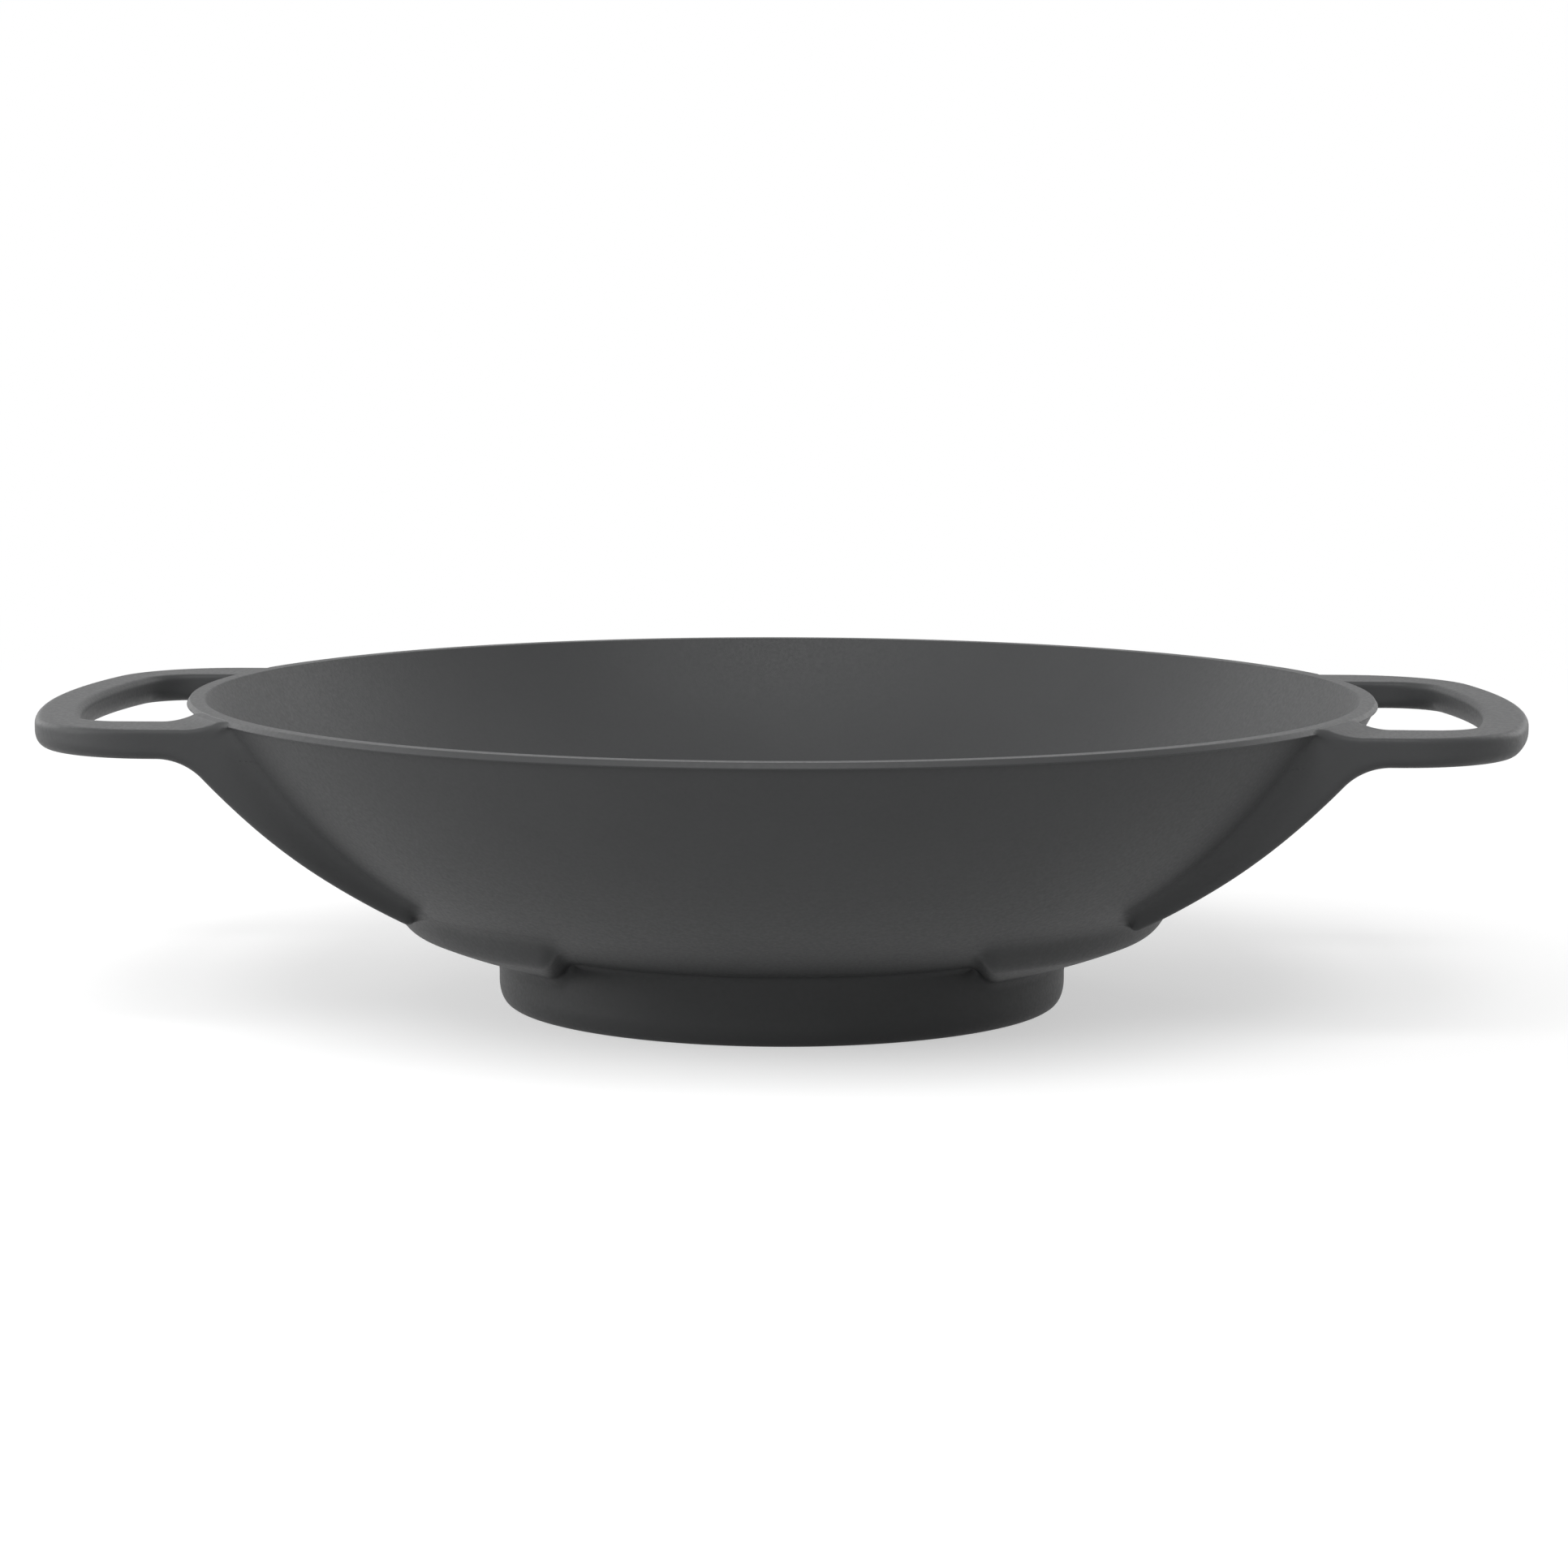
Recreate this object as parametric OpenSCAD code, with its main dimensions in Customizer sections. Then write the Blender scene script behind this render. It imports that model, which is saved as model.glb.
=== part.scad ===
// Cast iron wok: a shallow bowl on a ring foot, with a wide flat loop handle at each side.
// The real wok is one casting. Each section of the casting is a module of its own here, and
// the sections meet face to face, so together they fill the casting without overlapping.
// Millimetres, Z up. The origin is on the table, under the middle of the foot. X runs through
// both handles, and the front of the wok faces -Y.

/* [Bowl] */
// Diameter of the mouth, over the outside of the lip
mouth_d = 355.6; // [335:0.1:380]
// Height of the lip's top face above the table
wok_h = 93.1; // [86:0.1:104]
// Thickness of the bowl, square to its surface
bowl_wall = 4.8; // [4:0.1:7]
// Height of the underside of the bowl above the table, in the middle
bottom_z = 11; // [8:0.5:14]
// Height at which the outside of the bowl meets the foot
crease_z = 20.5; // [18.5:0.5:24]

/* [Lip] */
// Height of the flat band round the mouth
lip_h = 1.8; // [1.2:0.1:3]
// How far the lip stands out over the bowl
lip_overhang = 0.8; // [0.4:0.1:1.5]
// Radius of the lip's upper outer edge
lip_round = 1; // [0.4:0.1:1.1]

/* [Foot] */
// Outer diameter of the foot ring
foot_d = 171; // [160:0.5:180]
// Thickness of the foot ring
foot_wall = 10; // [9:0.5:13]
// Radius of the foot's lower outer edge
foot_round = 3; // [1.5:0.5:7]
// Radius of the foot's lower inner edge
foot_inner_round = 1; // [0.5:0.1:1.5]

/* [Handles] */
// Width of each handle, along Y
handle_w = 178; // [165:1:195]
// Thickness of the handles, top to bottom
handle_t = 8.6; // [6:0.1:11]
// How far the handles' top face lies below the lip
handle_drop = 0.9; // [0:0.1:3]
// Width of the two arms that carry a grip
arm_w = 23; // [18:1:30]
// Width of the grip bar
grip_w = 13.5; // [11:0.5:17]
// Room for the fingers between the lip and the grip, in the middle
finger_gap = 30.2; // [24:0.1:36]
// Radius of the grip's outer curve, seen from above
grip_bow_r = 250; // [220:1:300]
// Radius of the loop's outer corners
corner_r = 37; // [20:0.5:42]
// Radius of the loop's inner corners
hole_corner_r = 14; // [8:0.5:18]

/* [Ribs] */
// How far inside the mouth's edge the curve between an arm's underside and its rib would end
rib_set_in = 8.9; // [7:0.1:13]
// Radius of that curve
rib_fillet_r = 18; // [14:0.5:22]
// Radius of a rib's long lower edge
rib_arc_r = 225; // [170:1:400]
// How far a rib's lower end stands out of the bowl, at its inner side
rib_end_depth = 2.1; // [0.5:0.1:3]
// How much narrower a rib is at its lower end than under its arm
rib_taper = 10; // [2:0.5:14]
// The part of a rib's way to the mouth's edge on which it gets narrower, counted from its lower end
taper_share = 0.55; // [0.4:0.05:0.7]
// Bare strip of bowl between a rib's lower end and the pad below it
rib_gap = 5.5; // [3:0.5:7]

/* [Base pads] */
// How far the pads reach out from the foot
pad_reach = 31; // [26:0.5:34]
// Thickness of the pads on the bowl
pad_t = 5.5; // [3:0.1:6.5]
// Distance of a pad's ends from the middle of the wok, along X
pad_start_x = 60; // [50:0.5:68]

/* [Hidden] */
$fn = 160;

iron = "#3b3e3f";

// How far a cutting shape runs past what it cuts
overrun = 30;

mouth_r = mouth_d / 2;
foot_r = foot_d / 2;
lip_z = wok_h - lip_h;
wall_top_r = mouth_r - lip_overhang;

// The bowl's outside is two arcs that meet smoothly at the foot. base_slope is the slope there,
// and rim_slope the slope under the lip.
base_slope = 2 * atan2(crease_z - bottom_z, foot_r);
base_arc_r = foot_r / sin(base_slope);
side_chord = [wall_top_r - foot_r, lip_z - crease_z];
rim_slope = 2 * atan2(side_chord.y, side_chord.x) - base_slope;
side_arc_r = norm(side_chord) / (2 * sin((rim_slope - base_slope) / 2));
base_mid = [0, bottom_z + base_arc_r];
side_mid = [foot_r - side_arc_r * sin(base_slope), crease_z + side_arc_r * cos(base_slope)];

// The line square to the outside at the place where the two arcs meet
seam_in = side_mid;
seam_out = side_mid + (side_arc_r + overrun) * [sin(base_slope), -cos(base_slope)];

// Height of the bowl's outside at a radius beyond the foot
function outside_z(r) = side_mid.y - sqrt(side_arc_r ^ 2 - (r - side_mid.x) ^ 2);

// Height of the underside of the handles
arm_z = lip_z - handle_drop - handle_t;
arm_out_y = handle_w / 2;
arm_in_y = arm_out_y - arm_w;
tip_x = mouth_r + finger_gap + grip_w;
bow_x = tip_x - grip_bow_r;

// Centre of a loop's corner, for an outline of a given half width, bow radius and corner radius
function corner_mid(half_w, bow_r, r) =
    [bow_x + sqrt((bow_r - r) ^ 2 - (half_w - r) ^ 2), half_w - r];

// The arms are straight as far as here, and the grip takes over with its corners
outer_corner = corner_mid(arm_out_y, grip_bow_r, corner_r);
hole_corner = corner_mid(arm_in_y, grip_bow_r - grip_w, hole_corner_r);
grip_x = min(outer_corner.x, hole_corner.x);

pad_r = foot_r + pad_reach;

// A rib's lower edge is an arc that runs smoothly into the fillet under the arm. fillet_mid and
// edge_mid are the centres of the two, and rib_end is the lower end of the edge. mouth_x is the
// place of the mouth's edge at the rib's inner side.
rib_end_x = sqrt((pad_r + rib_gap) ^ 2 - arm_in_y ^ 2);
rib_end = [rib_end_x, outside_z(pad_r + rib_gap) - rib_end_depth];
mouth_x = sqrt(mouth_r ^ 2 - arm_in_y ^ 2);
fillet_mid = [mouth_x - rib_set_in + rib_fillet_r, arm_z - rib_fillet_r];
edge_mid = meeting_point(fillet_mid, rib_arc_r + rib_fillet_r, rib_end, rib_arc_r);
fillet_end = fillet_mid + rib_fillet_r * (edge_mid - fillet_mid) / norm(edge_mid - fillet_mid);

// Where two circles meet, on the left of the way from the second centre to the first
function meeting_point(a, a_r, b, b_r) =
    let (
        d = norm(b - a),
        along = (a_r ^ 2 - b_r ^ 2 + d ^ 2) / (2 * d),
        aside = sqrt(a_r ^ 2 - along ^ 2),
        way = (b - a) / d
    )
    a + along * way + aside * [way.y, -way.x];

// Half section of what lies inside the bowl's outside, moved outwards by grow, up to a height.
// The side's circle lies within the base's circle, so only the base's is cut off at the seam.
module arcs_section(grow, top) {
    intersection() {
        union() {
            intersection() {
                translate(base_mid) circle(base_arc_r + grow);
                polygon([[0, -overrun], [seam_out.x, -overrun], seam_out, seam_in, [0, seam_in.y]]);
            }
            translate(side_mid) circle(side_arc_r + grow);
        }
        translate([0, -overrun]) square([mouth_r + overrun, overrun + top]);
    }
}

// The space taken by the bowl and what it holds, as high as the handles
module bowl_block() {
    rotate_extrude() arcs_section(0, lip_z);
}

// What an inside corner lacks when it is rounded by r, with the corner at the origin
module corner_waste(r) {
    difference() {
        square(r);
        translate([r, r]) circle(r);
    }
}

module bowl() {
    color(iron)
    rotate_extrude()
    difference() {
        arcs_section(0, lip_z);
        arcs_section(-bowl_wall, wok_h);
    }
}

module rim_lip() {
    color(iron)
    rotate_extrude()
    difference() {
        translate([0, lip_z]) square([mouth_r, lip_h]);
        arcs_section(-bowl_wall, wok_h + overrun);
        translate([mouth_r, wok_h]) rotate(180) corner_waste(lip_round);
    }
}

module foot_ring() {
    color(iron)
    rotate_extrude()
    difference() {
        translate([foot_r - foot_wall, 0]) square([foot_wall, crease_z]);
        arcs_section(0, lip_z);
        translate([foot_r, 0]) rotate(90) corner_waste(foot_round);
        translate([foot_r - foot_wall, 0]) corner_waste(foot_inner_round);
    }
}

// The pad at +X: a thick patch of the bowl that wraps round the foot, cut off square at its ends
module base_pad() {
    color(iron)
    intersection() {
        rotate_extrude()
        difference() {
            intersection() {
                arcs_section(pad_t, lip_z);
                translate([foot_r, 0]) square([pad_reach, arm_z]);
            }
            arcs_section(0, lip_z);
        }
        translate([pad_start_x, -pad_r - overrun, -overrun])
            cube([pad_r + overrun, 2 * (pad_r + overrun), arm_z + overrun]);
    }
}

// Side view of a rib, from its lower end to the underside of its arm
module rib_side() {
    length = fillet_mid.x - rib_end.x;
    intersection() {
        translate(edge_mid) circle(rib_arc_r);
        translate([rib_end.x, 0]) square([length, arm_z]);
    }
    difference() {
        translate([rib_end.x, fillet_end.y]) square([length, arm_z - fillet_end.y]);
        translate(fillet_mid) circle(rib_fillet_r);
    }
}

// What the front of the rib at +X and -Y lacks, as it gets narrower towards its lower end
module taper_waste() {
    start = [rib_end_x + taper_share * (mouth_x - rib_end_x), -arm_out_y];
    end = [rib_end_x, -arm_out_y + rib_taper];
    past_end = end + overrun * (end - start) / norm(end - start);
    linear_extrude(arm_z)
    polygon([start, past_end, [past_end.x, start.y - overrun], [start.x, start.y - overrun]]);
}

// The rib at +X and -Y
module rib() {
    color(iron)
    difference() {
        translate([0, -arm_in_y, 0])
            rotate([90, 0, 0])
            linear_extrude(arm_w)
            rib_side();
        bowl_block();
        taper_waste();
    }
}

// The arm at +X and -Y
module arm() {
    color(iron)
    difference() {
        translate([0, -arm_out_y, arm_z]) cube([grip_x, arm_w, handle_t]);
        bowl_block();
    }
}

// Outline of a loop seen from above, from the middle of the wok out to its bowed end
module loop_outline(half_w, bow_r, r) {
    mid = corner_mid(half_w, bow_r, r);
    reach = (bow_r + overrun) / (mid.x - bow_x);
    translate([0, -half_w]) square([mid.x, 2 * half_w]);
    for (side = [-1, 1])
        translate([mid.x, side * mid.y]) circle(r);
    intersection() {
        translate([bow_x, 0]) circle(bow_r);
        translate([bow_x, 0])
            polygon([[0, 0], reach * [mid.x - bow_x, -mid.y], reach * [mid.x - bow_x, mid.y]]);
    }
}

// The grip at +X, with the corners that join it to its arms
module grip() {
    color(iron)
    translate([0, 0, arm_z])
    linear_extrude(handle_t)
    intersection() {
        difference() {
            loop_outline(arm_out_y, grip_bow_r, corner_r);
            loop_outline(arm_in_y, grip_bow_r - grip_w, hole_corner_r);
        }
        translate([grip_x, -handle_w]) square([tip_x, 2 * handle_w]);
    }
}

// Carries what is drawn at +X over to -X
module at_left() {
    mirror([1, 0, 0]) children();
}

// Carries what is drawn at -Y over to +Y
module at_back() {
    mirror([0, 1, 0]) children();
}

bowl();
rim_lip();
foot_ring();
at_left() base_pad();  // left_base_pad
base_pad();  // right_base_pad
at_left() rib();  // left_front_rib
at_left() at_back() rib();  // left_back_rib
rib();  // right_front_rib
at_back() rib();  // right_back_rib
at_left() arm();  // left_front_arm
at_left() at_back() arm();  // left_back_arm
arm();  // right_front_arm
at_back() arm();  // right_back_arm
at_left() grip();  // left_grip
grip();  // right_grip
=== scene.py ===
"""The looks of a cast iron wok: a shallow bowl with a narrow lip and a ring foot, and at each side a
wide loop handle with a rib under each of its arms and a thick pad beside the foot.

The real wok is one casting. Each section of it is a piece of its own here. The bowl, the lip and the
foot are turned round Z. The handles, ribs and pads are meshed from a distance field, in which they
run into the bowl with soft fillets. Lengths are in millimetres until a mesh is made.
"""

import math

import bpy
import numpy as np
from mathutils import Matrix, Vector


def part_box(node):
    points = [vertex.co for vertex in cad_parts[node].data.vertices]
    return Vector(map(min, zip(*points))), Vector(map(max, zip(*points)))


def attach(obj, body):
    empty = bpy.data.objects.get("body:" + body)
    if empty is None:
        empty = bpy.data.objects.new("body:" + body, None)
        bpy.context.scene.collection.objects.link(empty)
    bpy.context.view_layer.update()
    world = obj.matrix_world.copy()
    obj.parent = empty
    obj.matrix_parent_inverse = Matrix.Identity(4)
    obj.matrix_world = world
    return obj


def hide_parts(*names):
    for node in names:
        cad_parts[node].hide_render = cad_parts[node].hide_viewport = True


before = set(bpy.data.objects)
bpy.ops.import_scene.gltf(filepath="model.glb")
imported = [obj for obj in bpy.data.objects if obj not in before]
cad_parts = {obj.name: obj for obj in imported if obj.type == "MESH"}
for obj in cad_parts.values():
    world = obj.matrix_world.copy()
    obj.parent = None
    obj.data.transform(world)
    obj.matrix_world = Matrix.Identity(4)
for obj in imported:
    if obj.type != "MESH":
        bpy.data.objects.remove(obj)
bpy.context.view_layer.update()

MM = 0.001
X, Y, Z = range(3)
BODY = "root"


def low(node, axis):
    """Lowest coordinate of a CAD node along an axis."""
    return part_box(node)[0][axis] / MM


def high(node, axis):
    """Highest coordinate of a CAD node along an axis."""
    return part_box(node)[1][axis] / MM


# Sizes that come from the frame

MOUTH_R = high("rim_lip", Y)
TOP_Z = high("rim_lip", Z)
LIP_Z = low("rim_lip", Z)
WALL_TOP_R = high("bowl", Y)
BOTTOM_Z = low("bowl", Z)
FOOT_R = high("foot_ring", Y)
CREASE_Z = high("foot_ring", Z)
ARM_Z = low("right_grip", Z)
ARM_TOP_Z = high("right_grip", Z)
ARM_OUT_Y = high("right_grip", Y)
ARM_IN_Y = low("right_back_arm", Y)
TIP_X = high("right_grip", X)
GRIP_X = low("right_grip", X)
RIB_END_X = low("right_back_rib", X)
PAD_R = high("right_base_pad", X)
PAD_START_X = low("right_base_pad", X)

# Sizes of the casting that the boxes of the frame don't give

# LIP_LEAN is how far the lip's outer side leans inwards, and FOOT_ROUND_HEIGHT how high up the foot
# its lower outer edge is rounded
BOWL_WALL = 4.8
LIP_ROUND = 0.5
LIP_INNER_ROUND = 0.7
LIP_LOWER_ROUND = 0.3
LIP_LEAN = math.radians(32)
FOOT_WALL = 10.0
FOOT_ROUND = 3.0
FOOT_ROUND_HEIGHT = 6.5
FOOT_INNER_ROUND = 1.0
FOOT_FILLET = 2.5
GRIP_W = 13.5
BOW_R = 250.0
CORNER_R = 37.0
HOLE_CORNER_R = 14.0
RIB_SET_IN = 8.9
RIB_FILLET_R = 18.0
RIB_ARC_R = 225.0
RIB_END_DEPTH = 2.1
RIB_TAPER = 10.0
TAPER_SHARE = 0.55
PAD_T = 5.5

# Radii of the edges of the handles, ribs and pads. The handles get rounder towards their tips.
UPPER_EDGE = 1.0
LOWER_EDGE = 2.8
TIP_UPPER_EDGE = 2.6
TIP_LOWER_EDGE = 4.6
RIB_END_EDGE = 2.2
PAD_EDGE = 5.2

# An arm's top rises towards the lip over the length of RAMP, which ends RAMP_GAP outside the mouth
RAMP = 9.0
RAMP_GAP = 1.5

# How softly a rib's straight front turns into its tapered front, and how wide the fillets are on
# each of the two forms that they join
TAPER_BLEND = 3.0
WALL_FILLET = 5.0
LIP_FILLET = 2.5
PAD_FILLET = 4.5

# A fillet narrows from WALL_FILLET to LIP_FILLET over NARROWING, which starts BELOW_LIP under the lip
NARROWING = 5.0
BELOW_LIP = 6.0

# Mesh fineness: steps round Z, the step of the grid on which a distance field is sampled, and the
# longest step and the widest turn along an arc
AROUND = 320
GRID = 0.6
ARC_STEP = 2.0
ROUND_STEP = math.radians(12)

# Room that a grid leaves round what it samples
ROOM = 2.0

# A point nearer to Z than AXIS_R lies on it, and a vector shorter than NO_LENGTH has no direction
AXIS_R = 1e-6
NO_LENGTH = 1e-9


# The bowl's outside: two arcs that meet smoothly above the foot

BASE_SLOPE = 2 * math.atan2(CREASE_Z - BOTTOM_Z, FOOT_R)
BASE_ARC_R = FOOT_R / math.sin(BASE_SLOPE)
RIM_SLOPE = 2 * math.atan2(LIP_Z - CREASE_Z, WALL_TOP_R - FOOT_R) - BASE_SLOPE
SIDE_ARC_R = math.hypot(WALL_TOP_R - FOOT_R, LIP_Z - CREASE_Z) / (
    2 * math.sin((RIM_SLOPE - BASE_SLOPE) / 2)
)
BASE_MID = np.array([0.0, BOTTOM_Z + BASE_ARC_R])
SIDE_MID = np.array(
    [
        FOOT_R - SIDE_ARC_R * math.sin(BASE_SLOPE),
        CREASE_Z + SIDE_ARC_R * math.cos(BASE_SLOPE),
    ]
)
DOWN = -math.pi / 2


def angle_at_height(mid, radius, z):
    """Angle, on the outer half of a circle, at which it reaches a height."""
    return math.asin((z - mid[1]) / radius)


# Sections of revolution

# A section runs round its solid with the solid on its left. Each part of it is a pair of arrays, its
# points and their outward normals, so parts that meet smoothly also shade smoothly.


def arc(mid, radius, start, end):
    """Part of a section: a circle's arc between two angles."""
    step = min(ARC_STEP / radius, ROUND_STEP)
    count = max(2, math.ceil(abs(end - start) / step) + 1)
    angles = np.linspace(start, end, count)
    out = np.stack([np.cos(angles), np.sin(angles)], 1)
    return np.asarray(mid) + radius * out, math.copysign(1, end - start) * out


def line(start, end):
    """Part of a section: a straight line."""
    start, end = np.asarray(start, float), np.asarray(end, float)
    along = (end - start) / np.linalg.norm(end - start)
    points = np.stack([start, end])
    return points, np.tile([along[1], -along[0]], (2, 1))


def stretched(part, factor):
    """Part of a section, made this many times as high above the table."""
    points, out = part
    out = out * np.array([factor, 1])
    return points * np.array([1, factor]), out / np.linalg.norm(out, axis=1)[:, None]


def bowl_section():
    """From the middle of the underside out to the lip, and back down the inside."""
    inner_side_r = SIDE_ARC_R - BOWL_WALL
    rim_angle = DOWN + RIM_SLOPE
    inner_angle = angle_at_height(SIDE_MID, inner_side_r, LIP_Z)
    seam = DOWN + BASE_SLOPE
    outside = [
        arc(BASE_MID, BASE_ARC_R, DOWN, seam),
        arc(SIDE_MID, SIDE_ARC_R, seam, rim_angle),
    ]
    inside = [
        arc(SIDE_MID, inner_side_r, inner_angle, seam),
        arc(BASE_MID, BASE_ARC_R - BOWL_WALL, seam, DOWN),
    ]
    return outside + [line(outside[-1][0][-1], inside[0][0][0])] + inside


# The lip's outer side leans inwards on its way up. This is the direction square to it.
LEAN_OUT = np.array([math.cos(LIP_LEAN), math.sin(LIP_LEAN)])


def lip_side():
    """Upper end of the lip's outer side, and the centre of the rounding above it."""
    rise = TOP_Z - LIP_ROUND - LIP_Z - LIP_LOWER_ROUND
    rounds = (LIP_LOWER_ROUND - LIP_ROUND) * LEAN_OUT
    along = (rise - rounds[1]) / math.cos(LIP_LEAN)
    lower_mid = np.array([MOUTH_R - LIP_LOWER_ROUND, LIP_Z + LIP_LOWER_ROUND])
    upper_mid = lower_mid + rounds + along * np.array([-LEAN_OUT[1], LEAN_OUT[0]])
    return upper_mid + LIP_ROUND * LEAN_OUT, upper_mid


def lip_section():
    """Round the lip, from the top of the bowl's inside."""
    inner_side_r = SIDE_ARC_R - BOWL_WALL
    inner_angle = angle_at_height(SIDE_MID, inner_side_r, LIP_Z)
    round_mid_z = TOP_Z - LIP_INNER_ROUND
    round_angle = angle_at_height(SIDE_MID, inner_side_r + LIP_INNER_ROUND, round_mid_z)
    way = np.array([math.cos(round_angle), math.sin(round_angle)])
    inner_mid = SIDE_MID + (inner_side_r + LIP_INNER_ROUND) * way
    start = SIDE_MID + inner_side_r * np.array([math.cos(inner_angle), math.sin(inner_angle)])
    lower_mid = np.array([MOUTH_R - LIP_LOWER_ROUND, LIP_Z + LIP_LOWER_ROUND])
    side_end, upper_mid = lip_side()
    return [
        line(start, (lower_mid[0], LIP_Z)),
        arc(lower_mid, LIP_LOWER_ROUND, DOWN, LIP_LEAN),
        line(lower_mid + LIP_LOWER_ROUND * LEAN_OUT, side_end),
        arc(upper_mid, LIP_ROUND, LIP_LEAN, -DOWN),
        line((upper_mid[0], TOP_Z), (inner_mid[0], TOP_Z)),
        arc(inner_mid, LIP_INNER_ROUND, -DOWN, math.pi + round_angle),
        arc(SIDE_MID, inner_side_r, round_angle, inner_angle),
    ]


def foot_section():
    """Round the foot ring, with a fillet on either side where it meets the bowl."""
    inner_r = FOOT_R - FOOT_WALL
    fillet_r = FOOT_R + FOOT_FILLET
    outer_angle = -math.acos((fillet_r - SIDE_MID[0]) / (SIDE_ARC_R + FOOT_FILLET))
    inner_angle = -math.acos((inner_r - FOOT_FILLET) / (BASE_ARC_R + FOOT_FILLET))
    seam = DOWN + BASE_SLOPE
    outer_z = SIDE_MID[1] + (SIDE_ARC_R + FOOT_FILLET) * math.sin(outer_angle)
    inner_z = BASE_MID[1] + (BASE_ARC_R + FOOT_FILLET) * math.sin(inner_angle)
    foot_edge = arc((FOOT_R - FOOT_ROUND, FOOT_ROUND), FOOT_ROUND, DOWN, 0)
    foot_edge = stretched(foot_edge, FOOT_ROUND_HEIGHT / FOOT_ROUND)
    return [
        line((inner_r, inner_z), (inner_r, FOOT_INNER_ROUND)),
        arc((inner_r + FOOT_INNER_ROUND, FOOT_INNER_ROUND), FOOT_INNER_ROUND, -math.pi, DOWN),
        line((inner_r + FOOT_INNER_ROUND, 0), (FOOT_R - FOOT_ROUND, 0)),
        foot_edge,
        line((FOOT_R, FOOT_ROUND_HEIGHT), (FOOT_R, outer_z)),
        arc((fillet_r, outer_z), FOOT_FILLET, math.pi, math.pi + outer_angle),
        arc(SIDE_MID, SIDE_ARC_R, outer_angle, seam),
        arc(BASE_MID, BASE_ARC_R, seam, inner_angle),
        arc((inner_r - FOOT_FILLET, inner_z), FOOT_FILLET, math.pi + inner_angle, 0),
    ]


def turned(section):
    """Points, faces and corner normals of the solid that a section sweeps out round Z."""
    turn = np.linspace(0, 2 * math.pi, AROUND, endpoint=False)
    cos, sin = np.cos(turn), np.sin(turn)
    closed = np.allclose(section[0][0][0], section[-1][0][-1])
    stops = [point for points, _ in section for point in points[:-1]]
    if not closed:
        stops.append(section[-1][0][-1])
    verts, rings = [], []
    for r, z in stops:
        first = len(verts)
        if r < AXIS_R:
            verts.append((0.0, 0.0, z))
            rings.append([first] * AROUND)
        else:
            verts.extend(zip(r * cos, r * sin, [z] * AROUND))
            rings.append(list(range(first, first + AROUND)))
    faces, normals = [], []
    at = 0
    for _, outward in section:
        spun = [
            np.stack([nr * cos, nr * sin, np.full(AROUND, nz)], 1) for nr, nz in outward
        ]
        for step in range(len(outward) - 1):
            a, b = rings[at % len(rings)], rings[(at + 1) % len(rings)]
            for j in range(AROUND):
                k = (j + 1) % AROUND
                corners = {
                    a[j]: spun[step][j],
                    a[k]: spun[step][k],
                    b[k]: spun[step + 1][k],
                    b[j]: spun[step + 1][j],
                }
                faces.append(list(corners))
                normals.extend(corners.values())
            at += 1
    return np.array(verts), faces, np.array(normals)


# Distance fields: below 0 inside a form


def smooth_union(a, b, width):
    """Both forms, with a fillet where they meet that is about this wide on each of them."""
    share = np.clip(0.5 + 0.5 * (b - a) / width, 0, 1)
    return b + (a - b) * share - width * share * (1 - share)


def rounded_both(a, b, radius):
    """What two forms have in common, with the edge between them rounded."""
    outside = np.hypot(np.maximum(a + radius, 0), np.maximum(b + radius, 0))
    return np.minimum(np.maximum(a, b) + radius, 0) + outside - radius


def bowl_field(r, z):
    """Distance out from the bowl's outside, as if the bowl were solid and had no rim."""
    base = np.hypot(r - BASE_MID[0], z - BASE_MID[1]) - BASE_ARC_R
    side = np.hypot(r - SIDE_MID[0], z - SIDE_MID[1]) - SIDE_ARC_R
    past_seam = (r - SIDE_MID[0]) * math.cos(BASE_SLOPE) + (
        z - SIDE_MID[1]
    ) * math.sin(BASE_SLOPE)
    return np.where(past_seam > 0, side, base)


def loop_field(x, y, half_width, bow_r, corner_r):
    """Outline of a loop from above: straight sides, round corners and a bowed end."""
    bow_x = TIP_X - BOW_R
    side = np.abs(y)
    corner_y = half_width - corner_r
    reach = math.sqrt((bow_r - corner_r) ** 2 - corner_y**2)
    corner_x = bow_x + reach
    past_bow = side * reach < corner_y * (x - bow_x)
    bow = np.hypot(x - bow_x, side) - bow_r
    corner = np.hypot(x - corner_x, side - corner_y) - corner_r
    return np.where(
        past_bow & (x > bow_x), bow, np.where(x > corner_x, corner, side - half_width)
    )


def meeting_point(a, a_r, b, b_r):
    """Where two circles meet, on the right of the way from the first centre to the second."""
    way = (b - a) / np.linalg.norm(b - a)
    d = np.linalg.norm(b - a)
    along = (a_r**2 - b_r**2 + d**2) / (2 * d)
    aside = math.sqrt(a_r**2 - along**2)
    return a + along * way + aside * np.array([way[1], -way[0]])


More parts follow.
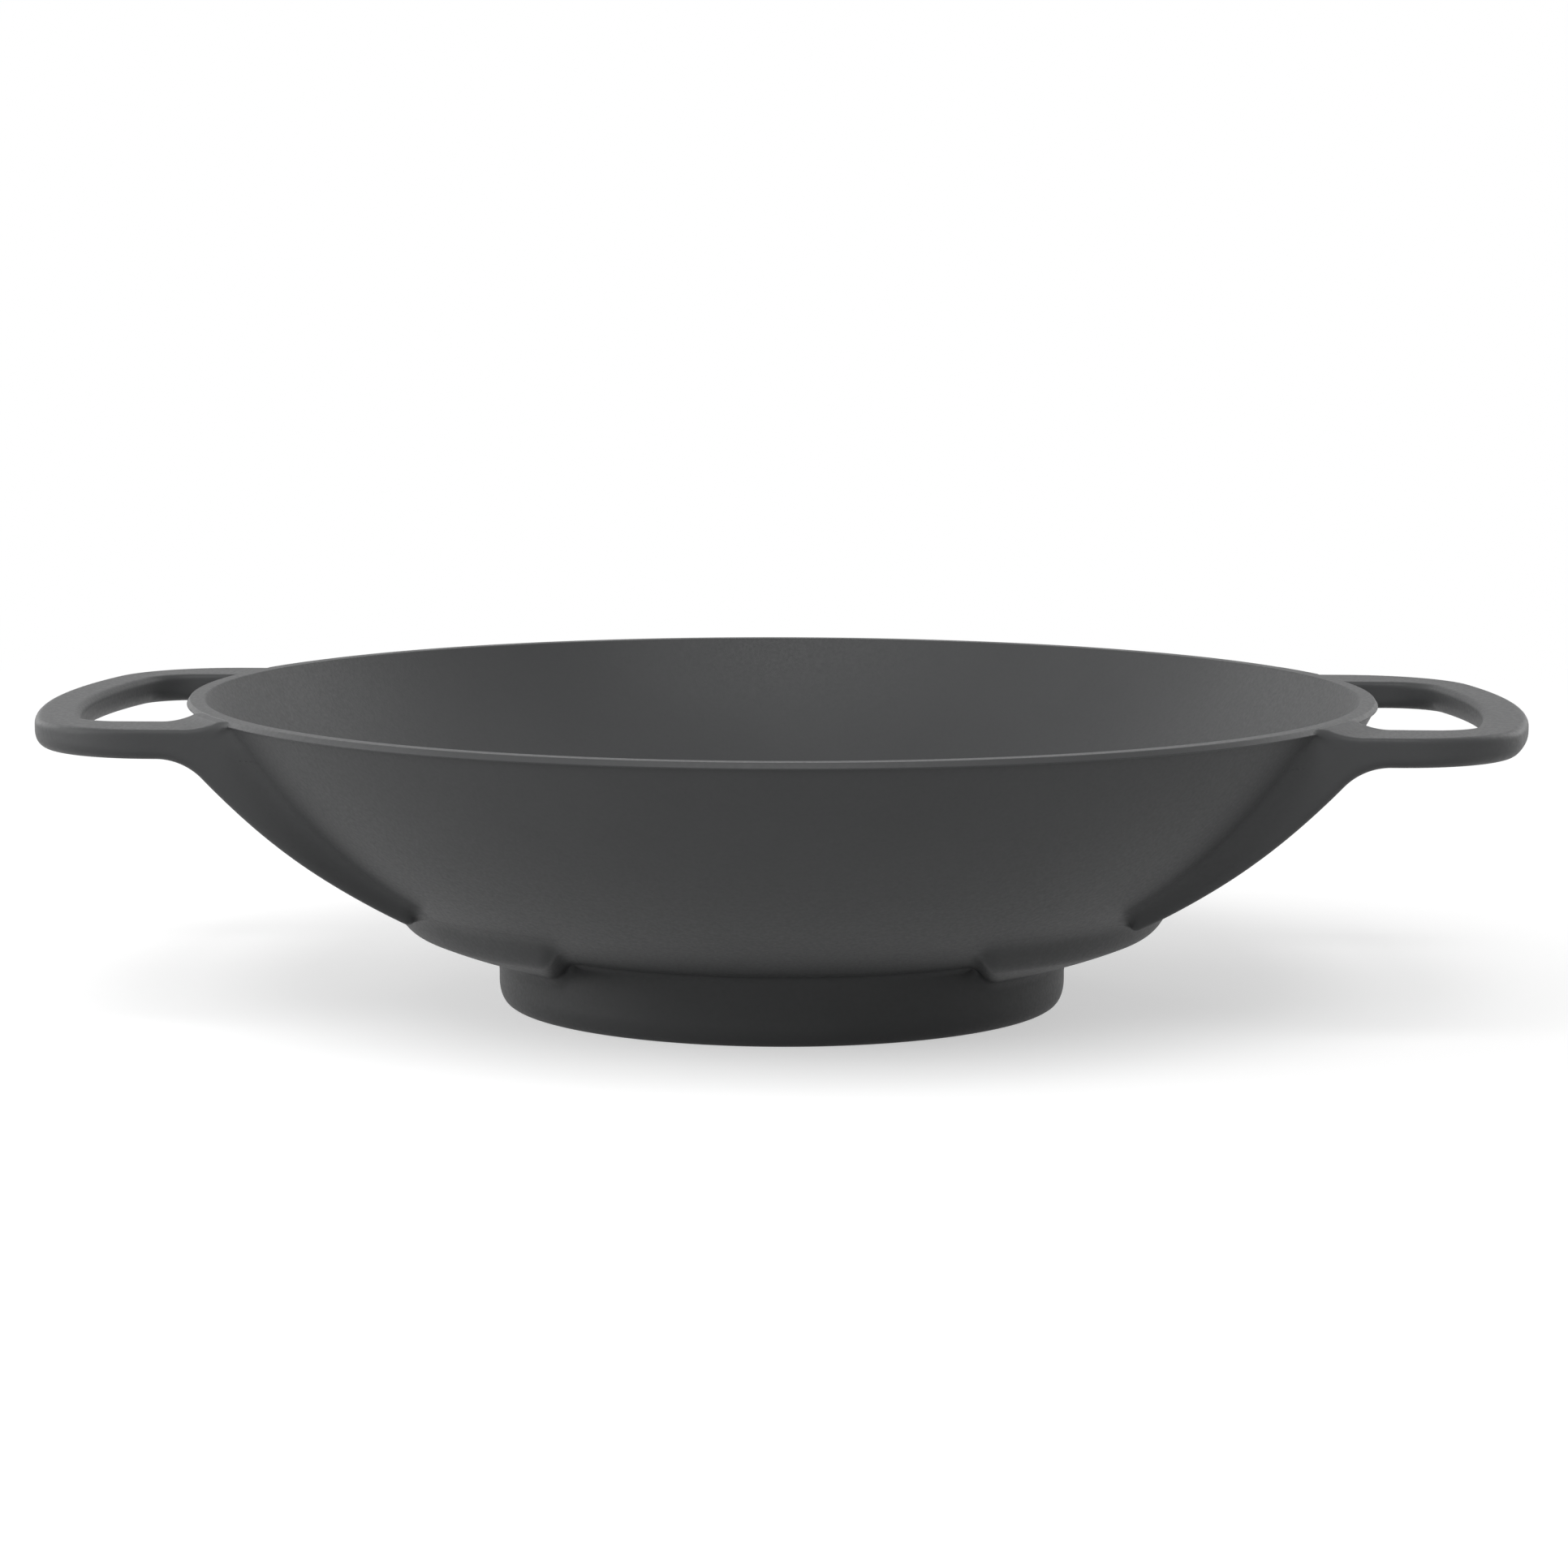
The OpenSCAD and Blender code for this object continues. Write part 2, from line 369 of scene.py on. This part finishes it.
def leg_field(x, z):
    """Side view of a rib and its arm: the long edge, the fillet under the arm and the arm's underside."""
    end_r = math.hypot(RIB_END_X, ARM_IN_Y)
    end_z = SIDE_MID[1] - math.sqrt(SIDE_ARC_R**2 - (end_r - SIDE_MID[0]) ** 2)
    end = np.array([RIB_END_X, end_z - RIB_END_DEPTH])
    mouth_x = math.sqrt(MOUTH_R**2 - ARM_IN_Y**2)
    fillet_mid = np.array([mouth_x - RIB_SET_IN + RIB_FILLET_R, ARM_Z - RIB_FILLET_R])
    edge_mid = meeting_point(fillet_mid, RIB_ARC_R + RIB_FILLET_R, end, RIB_ARC_R)
    across = fillet_mid - edge_mid
    above = (x - fillet_mid[0]) * -across[1] + (z - fillet_mid[1]) * across[0] > 0
    edge = np.hypot(x - edge_mid[0], z - edge_mid[1]) - RIB_ARC_R
    fillet = RIB_FILLET_R - np.hypot(x - fillet_mid[0], z - fillet_mid[1])
    return np.where(x > fillet_mid[0], ARM_Z - z, np.where(above, fillet, edge))


def arm_top_z(x, y):
    """Height of a handle's top, which rises towards the lip."""
    to_ramp = np.clip((np.hypot(x, y) - MOUTH_R - RAMP_GAP) / RAMP, 0, 1)
    return ARM_TOP_Z + (TOP_Z - LIP_ROUND - ARM_TOP_Z) * (1 - to_ramp) ** 2


def taper_field(x, y):
    """The upright planes that make the ribs narrower towards their lower ends, as distances."""
    reach = TAPER_SHARE * (math.sqrt(MOUTH_R**2 - ARM_IN_Y**2) - RIB_END_X)
    beside = (x - RIB_END_X - reach) * -RIB_TAPER + (np.abs(y) - ARM_OUT_Y) * reach
    return beside / math.hypot(RIB_TAPER, reach)


def handle_field(x, y, z):
    """A loop handle with its ribs, at +X: what its outlines from above and from the side share."""
    outer = loop_field(x, y, ARM_OUT_Y, BOW_R, CORNER_R)
    outer = -smooth_union(-outer, -taper_field(x, y), TAPER_BLEND)
    hole = loop_field(x, y, ARM_IN_Y, BOW_R - GRIP_W, HOLE_CORNER_R)
    plan = np.maximum(outer, -hole)
    past_arm = np.clip((x - GRIP_X) / (TIP_X - GRIP_X), 0, 1)
    upper_edge = UPPER_EDGE + (TIP_UPPER_EDGE - UPPER_EDGE) * past_arm
    lower_edge = LOWER_EDGE + (TIP_LOWER_EDGE - LOWER_EDGE) * past_arm
    upper = rounded_both(plan, z - arm_top_z(x, y), upper_edge)
    lower = rounded_both(plan, leg_field(x, z), lower_edge)
    return rounded_both(np.maximum(upper, lower), RIB_END_X - x, RIB_END_EDGE)


def pad_field(x, r, z):
    """The pad at +X: a thick patch of the bowl, round outside and cut off square at its ends."""
    patch = rounded_both(bowl_field(r, z) - PAD_T, r - PAD_R, PAD_EDGE)
    return rounded_both(patch, PAD_START_X - x, PAD_EDGE)


# Meshes of distance fields

CORNERS = np.array([(i, j, k) for i in (0, 1) for j in (0, 1) for k in (0, 1)])
EDGES = [
    (a, b)
    for a in range(8)
    for b in range(a + 1, 8)
    if np.abs(CORNERS[a] - CORNERS[b]).sum() == 1
]


def grid_axes(lowest, highest):
    """The grid's coordinates along X, Y and Z, shaped so that they combine."""
    steps = [
        np.arange(math.floor(a / GRID), math.ceil(b / GRID) + 1)
        for a, b in zip(lowest, highest)
    ]
    x, y, z = ((s * GRID).astype(np.float32) for s in steps)
    return x[:, None, None], y[None, :, None], z[None, None, :]


def net_points(solid, parts, shape, axes):
    """One point in each grid cell that a surface passes, its normal, and the cells' numbers."""
    cells = tuple(n - 1 for n in solid.shape)
    first = parts[:-1, :-1, :-1]
    mixed = np.zeros(cells, bool)
    for i, j, k in CORNERS[1:]:
        mixed |= parts[i : i + cells[0], j : j + cells[1], k : k + cells[2]] != first
    where = np.argwhere(mixed)
    number = np.full(cells, -1)
    number[mixed] = np.arange(len(where))
    corners = tuple((where[:, None, :] + CORNERS).transpose(2, 0, 1))
    value, part = solid[corners], parts[corners]
    at_skin = (part == 0).any(1)
    total, count = np.zeros((len(where), 3)), np.zeros((len(where), 1))
    for a, b in EDGES:
        differs = part[:, a] != part[:, b]
        skin = differs & ((part[:, a] == 0) | (part[:, b] == 0))
        used = np.where(at_skin, skin, differs)[:, None]
        span = np.where(skin, value[:, a] - value[:, b], 1)
        share = np.where(skin, value[:, a] / span, 0.5)[:, None]
        total += used * (CORNERS[a] + share * (CORNERS[b] - CORNERS[a]))
        count += used
    within = total / count
    lowest = np.array([axis.min() for axis in axes])
    points = lowest + (where + within) * GRID
    weight = np.where(CORNERS[None], within[:, None], 1 - within[:, None]).prod(2)
    slopes = [(slope[corners] * weight).sum(1) for slope in np.gradient(shape)]
    normals = np.stack(slopes, 1)
    return points, normals / np.linalg.norm(normals, axis=1)[:, None], number


def net_faces(parts, number):
    """The quads between grid points of different parts, as (corner numbers, part, is skin)."""
    found = []
    limit = np.array(number.shape)
    for axis in range(3):
        b, c = np.eye(3, dtype=int)[[(axis + 1) % 3, (axis + 2) % 3]]
        ahead = np.roll(parts, -1, axis)
        at = np.argwhere(parts != ahead)
        at = at[((at - b - c >= 0) & (at < limit)).all(1)]
        around = [at - b - c, at - c, at, at - b]
        quads = np.stack([number[tuple(p.T)] for p in around], 1)
        here, there = parts[tuple(at.T)], ahead[tuple(at.T)]
        found.append((quads, here, there == 0))
        found.append((quads[:, ::-1], there, here == 0))
    return [np.concatenate(column) for column in zip(*found)]


def net(solid, parts, shape, axes):
    """Closed meshes of the numbered parts of a solid, which share their borders point for point.

    solid is the distance field to mesh, parts the number of the part at each grid point, and
    shape the field that the skin's normals follow.
    """
    parts = np.where(solid < 0, parts, 0)
    points, normals, number = net_points(solid, parts, shape, axes)
    quads, owner, skin = net_faces(parts, number)
    meshes = {}
    for part in np.unique(parts[parts > 0]):
        mine = owner == part
        faces, is_skin = quads[mine], skin[mine]
        used, local = np.unique(faces, return_inverse=True)
        local = local.reshape(faces.shape)
        verts = points[used]
        flat = np.cross(
            verts[local[:, 2]] - verts[local[:, 0]], verts[local[:, 3]] - verts[local[:, 1]]
        )
        flat /= np.maximum(np.linalg.norm(flat, axis=1), NO_LENGTH)[:, None]
        corner_normals = np.where(is_skin[:, None, None], normals[faces], flat[:, None])
        meshes[part] = verts, local, corner_normals.reshape(-1, 3)
    return meshes


def mirrored(mesh):
    """The mesh carried over from +X to -X."""
    verts, faces, normals = mesh
    flip = np.array([-1, 1, 1])
    corner_normals = normals.reshape(len(faces), -1, 3)[:, ::-1]
    return verts * flip, np.asarray(faces)[:, ::-1], (corner_normals * flip).reshape(-1, 3)


# The pieces

# How far a piece reaches onto the bowl past its fillet and into the bowl's wall, and how far it
# stands proud of the bowl there, so that the bowl's own surface is hidden under it
SKIRT = 1.0
SUNK = 2.0
HANDLE_PROUD = 0.03
PAD_PROUD = 0.06

GRIP, FRONT_ARM, BACK_ARM, FRONT_RIB, BACK_RIB = range(1, 6)
HANDLE_PARTS = {
    GRIP: "grip",
    FRONT_ARM: "front_arm",
    BACK_ARM: "back_arm",
    FRONT_RIB: "front_rib",
    BACK_RIB: "back_rib",
}


def handle_meshes():
    """The grip, arms and ribs at +X, with their fillets on the bowl and the lip."""
    margin = WALL_FILLET + SKIRT + ROOM
    axes = grid_axes(
        (RIB_END_X - margin, -ARM_OUT_Y - margin, CREASE_Z),
        (TIP_X + ROOM, ARM_OUT_Y + margin, TOP_Z + ROOM),
    )
    x, y, z = axes
    r = np.hypot(x, y)
    outside = bowl_field(r, z)
    beside = (r - MOUTH_R + LIP_LOWER_ROUND) * LEAN_OUT[0] - LIP_LOWER_ROUND
    beside = beside + (z - LIP_Z - LIP_LOWER_ROUND) * LEAN_OUT[1]
    lip = rounded_both(beside, z - TOP_Z, LIP_ROUND)
    casting = np.minimum(np.maximum(outside, z - LIP_Z), np.maximum(lip, LIP_Z - z))
    handle = handle_field(x, y, z)
    near_lip = np.clip((z - LIP_Z + BELOW_LIP) / NARROWING, 0, 1)
    fillet = WALL_FILLET + (LIP_FILLET - WALL_FILLET) * near_lip
    shape = smooth_union(casting - HANDLE_PROUD, handle, fillet)
    kept = np.maximum(handle - fillet - SKIRT, -outside - SUNK)
    kept = np.maximum(kept, z - (TOP_Z - LIP_ROUND / 2))
    solid = np.maximum(shape, kept)
    arm_or_rib = np.where(z > ARM_Z, FRONT_ARM, FRONT_RIB) + (y > 0)
    parts = np.where(x > GRIP_X, GRIP, arm_or_rib)
    return net(solid, np.broadcast_to(parts, solid.shape), shape, axes)


def pad_mesh():
    """The pad at +X, with its fillets on the bowl and the foot."""
    margin = PAD_FILLET + SKIRT + ROOM
    axes = grid_axes(
        (PAD_START_X - margin, -PAD_R - margin, 0),
        (PAD_R + margin, PAD_R + margin, high("right_base_pad", Z) + margin),
    )
    x, y, z = axes
    r = np.hypot(x, y)
    outside = bowl_field(r, z)
    casting = np.minimum(outside, r - FOOT_R)
    pad = pad_field(x, r, z)
    shape = smooth_union(casting - PAD_PROUD, pad, PAD_FILLET)
    kept = np.maximum(pad - PAD_FILLET - SKIRT, -casting - SUNK)
    solid = np.maximum(shape, kept)
    return net(solid, np.ones(solid.shape, int), shape, axes)[1]


def add_piece(node, mesh_data, material):
    """Makes the piece that stands for a CAD node."""
    verts, faces, normals = mesh_data
    mesh = bpy.data.meshes.new("cast_" + node)
    mesh.from_pydata((verts * MM).tolist(), [], [list(map(int, f)) for f in faces])
    mesh.materials.append(material)
    mesh.shade_smooth()
    mesh.normals_split_custom_set(normals.tolist())
    piece = bpy.data.objects.new("cast_" + node, mesh)
    bpy.context.scene.collection.objects.link(piece)
    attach(piece, BODY)
    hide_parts(node)


def add_wok(material):
    """Makes all the pieces of the casting."""
    add_piece("bowl", turned(bowl_section()), material)
    add_piece("rim_lip", turned(lip_section()), material)
    add_piece("foot_ring", turned(foot_section()), material)
    for part, mesh in handle_meshes().items():
        add_piece("right_" + HANDLE_PARTS[part], mesh, material)
        add_piece("left_" + HANDLE_PARTS[part], mirrored(mesh), material)
    pad = pad_mesh()
    add_piece("right_base_pad", pad, material)
    add_piece("left_base_pad", mirrored(pad), material)


# The material


class Nodes:
    """Builds the node tree of a material or the world. An input's spaces are written as _ here."""

    def __init__(self, material):
        material.use_nodes = True
        self.tree = material.node_tree
        self.tree.nodes.clear()

    def add(self, kind, **inputs):
        node = self.tree.nodes.new(kind)
        for name, value in inputs.items():
            self.set(node, name.replace("_", " "), value)
        return node

    def set(self, node, name, value):
        socket = node.inputs[name]
        if isinstance(value, bpy.types.NodeSocket):
            self.tree.links.new(value, socket)
        else:
            socket.default_value = value

    def noise(self, place, scale, detail=2.0, roughness=0.5):
        """Soft spots. The scale is how many there are in about a metre."""
        node = self.add("ShaderNodeTexNoise", Vector=place, Scale=scale)
        self.set(node, "Detail", detail)
        self.set(node, "Roughness", roughness)
        return node.outputs["Fac"]

    def spread(self, value, source, target):
        """The value carried from one range of numbers to another."""
        node = self.add("ShaderNodeMapRange", Value=value)
        for name, number in zip(("From Min", "From Max"), source):
            node.inputs[name].default_value = number
        for name, number in zip(("To Min", "To Max"), target):
            node.inputs[name].default_value = number
        return node.outputs["Result"]

    def blend(self, share, first, second):
        """A colour between two others."""
        node = self.add("ShaderNodeMix")
        node.data_type = "RGBA"
        self.tree.links.new(share, node.inputs["Factor"])
        ends = [socket for socket in node.inputs if socket.type == "RGBA"]
        for socket, colour in zip(ends, (first, second)):
            socket.default_value = (*colour, 1)
        return next(socket for socket in node.outputs if socket.type == "RGBA")


DARKER_IRON = (0.0435, 0.0445, 0.0455)
LIGHTER_IRON = (0.0470, 0.0480, 0.0490)
IRON_ROUGHNESS = (0.46, 0.58)
IRON_SPECULAR = 0.25
GRAIN_DEPTH = 0.0002
PIT_DEPTH = 0.0004


def cast_iron():
    """Seasoned cast iron: dark slate grey, matt and finely grained, with a soft sheen."""
    material = bpy.data.materials.new("cast_iron")
    n = Nodes(material)
    place = n.add("ShaderNodeTexCoord").outputs["Object"]
    mottle = n.noise(place, scale=22.0, detail=4.0, roughness=0.6)
    grain = n.noise(place, scale=900.0, detail=3.0, roughness=0.6)
    pits = n.noise(place, scale=300.0)
    colour = n.blend(n.spread(mottle, (0.35, 0.65), (0, 1)), DARKER_IRON, LIGHTER_IRON)
    rough = n.spread(grain, (0.3, 0.7), IRON_ROUGHNESS)
    fine = n.add("ShaderNodeBump", Strength=0.15, Distance=GRAIN_DEPTH, Height=grain)
    coarse = n.add("ShaderNodeBump", Strength=0.1, Distance=PIT_DEPTH, Height=pits)
    n.set(coarse, "Normal", fine.outputs["Normal"])
    shader = n.add("ShaderNodeBsdfPrincipled", Base_Color=colour, Roughness=rough)
    n.set(shader, "Normal", coarse.outputs["Normal"])
    shader.inputs["Specular IOR Level"].default_value = IRON_SPECULAR
    n.add("ShaderNodeOutputMaterial", Surface=shader.outputs["BSDF"])
    return material


# The studio, in metres and watts

# FLOOR_FADE is where the floor turns into plain white, counted from the middle of the wok, and
# FLOOR_GLOW what lifts it towards white where it is seen directly
FLOOR_SIZE = 30.0
FLOOR_FADE = (0.45, 1.1)
FLOOR_COLOUR = (0.62, 0.62, 0.62)
FLOOR_GLOW = 0.5

# Strength of the white light from all sides
WORLD_FILL = 0.3

# What all lamps face
LAMP_TARGET = (0, 0, 0.05)


def seen_directly(n):
    """1 for rays that show a background: those of the camera, reflections and clear materials."""
    path = n.add("ShaderNodeLightPath")
    total = path.outputs["Is Camera Ray"]
    for other in ("Is Glossy Ray", "Is Transmission Ray"):
        node = n.tree.nodes.new("ShaderNodeMath")
        node.operation = "MAXIMUM"
        n.tree.links.new(total, node.inputs[0])
        n.tree.links.new(path.outputs[other], node.inputs[1])
        total = node.outputs[0]
    return total


def floor_material():
    """Pale floor that keeps the wok's shadow and turns into the white background further away."""
    material = bpy.data.materials.new("floor")
    n = Nodes(material)
    diffuse = n.add("ShaderNodeBsdfDiffuse", Color=(*FLOOR_COLOUR, 1))
    glow = n.add("ShaderNodeEmission", Strength=FLOOR_GLOW)
    lit = n.add("ShaderNodeAddShader")
    n.tree.links.new(diffuse.outputs[0], lit.inputs[0])
    n.tree.links.new(glow.outputs[0], lit.inputs[1])
    white = n.add("ShaderNodeEmission", Strength=1.0)
    place = n.add("ShaderNodeTexCoord").outputs["Object"]
    distance = n.tree.nodes.new("ShaderNodeVectorMath")
    distance.operation = "LENGTH"
    n.tree.links.new(place, distance.inputs[0])
    far = n.spread(distance.outputs["Value"], FLOOR_FADE, (0, 1))
    shown = n.add("ShaderNodeMixShader")
    for socket, source in zip(shown.inputs, (far, lit.outputs[0], white.outputs[0])):
        n.tree.links.new(source, socket)
    either = n.add("ShaderNodeMixShader")
    choice = (seen_directly(n), diffuse.outputs[0], shown.outputs[0])
    for socket, source in zip(either.inputs, choice):
        n.tree.links.new(source, socket)
    n.add("ShaderNodeOutputMaterial", Surface=either.outputs[0])
    return material


def add_floor():
    """The floor that the wok stands on, as part of the stage."""
    mesh = bpy.data.meshes.new("floor")
    half = FLOOR_SIZE / 2
    corners = [(-half, -half, 0), (half, -half, 0), (half, half, 0), (-half, half, 0)]
    mesh.from_pydata(corners, [], [(0, 1, 2, 3)])
    mesh.materials.append(floor_material())
    floor = bpy.data.objects.new("floor", mesh)
    bpy.context.scene.collection.objects.link(floor)


def set_world():
    """White background, and a weaker white light from all sides."""
    world = bpy.data.worlds.new("studio")
    bpy.context.scene.world = world
    n = Nodes(world)
    strength = n.spread(seen_directly(n), (0, 1), (WORLD_FILL, 1))
    background = n.add("ShaderNodeBackground", Strength=strength)
    background.inputs["Color"].default_value = (1, 1, 1, 1)
    n.add("ShaderNodeOutputWorld", Surface=background.outputs[0])


def add_softbox(name, place, size, power):
    """A square lamp that faces the wok."""
    lamp = bpy.data.lights.new(name, "AREA")
    lamp.shape = "SQUARE"
    lamp.size = size
    lamp.energy = power
    softbox = bpy.data.objects.new(name, lamp)
    softbox.location = place
    way = Vector(LAMP_TARGET) - Vector(place)
    softbox.rotation_euler = way.to_track_quat("-Z", "Y").to_euler()
    bpy.context.scene.collection.objects.link(softbox)


def add_lights():
    """One soft lamp above the front, one at the left and two behind."""
    add_softbox("front_light", place=(0, -1.0, 1.3), size=1.2, power=17.5)
    add_softbox("left_light", place=(-1.4, -0.3, 0.5), size=1.0, power=10.5)
    add_softbox("left_back_light", place=(-1.2, 1.0, 0.7), size=1.0, power=6.0)
    add_softbox("right_back_light", place=(1.2, 1.0, 0.7), size=1.0, power=7.0)


# The camera, from the photograph's fitted view: places in metres, angles in degrees

CAMERA_DISTANCE = 1.3
CAMERA_HEIGHT = 0.2305
CAMERA_YAW = 2.3
CAMERA_PITCH = 7.2536
CAMERA_ROLL = 0.1375
IMAGE_SIZE = 1932
FOCAL_PIXELS = 5346.5
MIDDLE_PIXEL = 963.8
SENSOR = 36.0


def add_camera():
    """The photograph's view of the wok."""
    camera_data = bpy.data.cameras.new("camera")
    camera_data.sensor_width = SENSOR
    camera_data.lens = FOCAL_PIXELS / IMAGE_SIZE * SENSOR
    camera_data.shift_x = (IMAGE_SIZE / 2 - MIDDLE_PIXEL) / IMAGE_SIZE
    camera = bpy.data.objects.new("camera", camera_data)
    yaw = math.radians(CAMERA_YAW)
    place = Matrix.Translation(
        (CAMERA_DISTANCE * math.sin(yaw), -CAMERA_DISTANCE * math.cos(yaw), CAMERA_HEIGHT)
    )
    turn = Matrix.Rotation(yaw, 4, "Z")
    tilt = Matrix.Rotation(math.radians(90 - CAMERA_PITCH), 4, "X")
    roll = Matrix.Rotation(math.radians(CAMERA_ROLL), 4, "Z")
    camera.matrix_world = place @ turn @ tilt @ roll
    bpy.context.scene.collection.objects.link(camera)
    bpy.context.scene.camera = camera


add_wok(cast_iron())
add_floor()
set_world()
add_lights()
add_camera()
bpy.context.scene.view_settings.view_transform = "Standard"
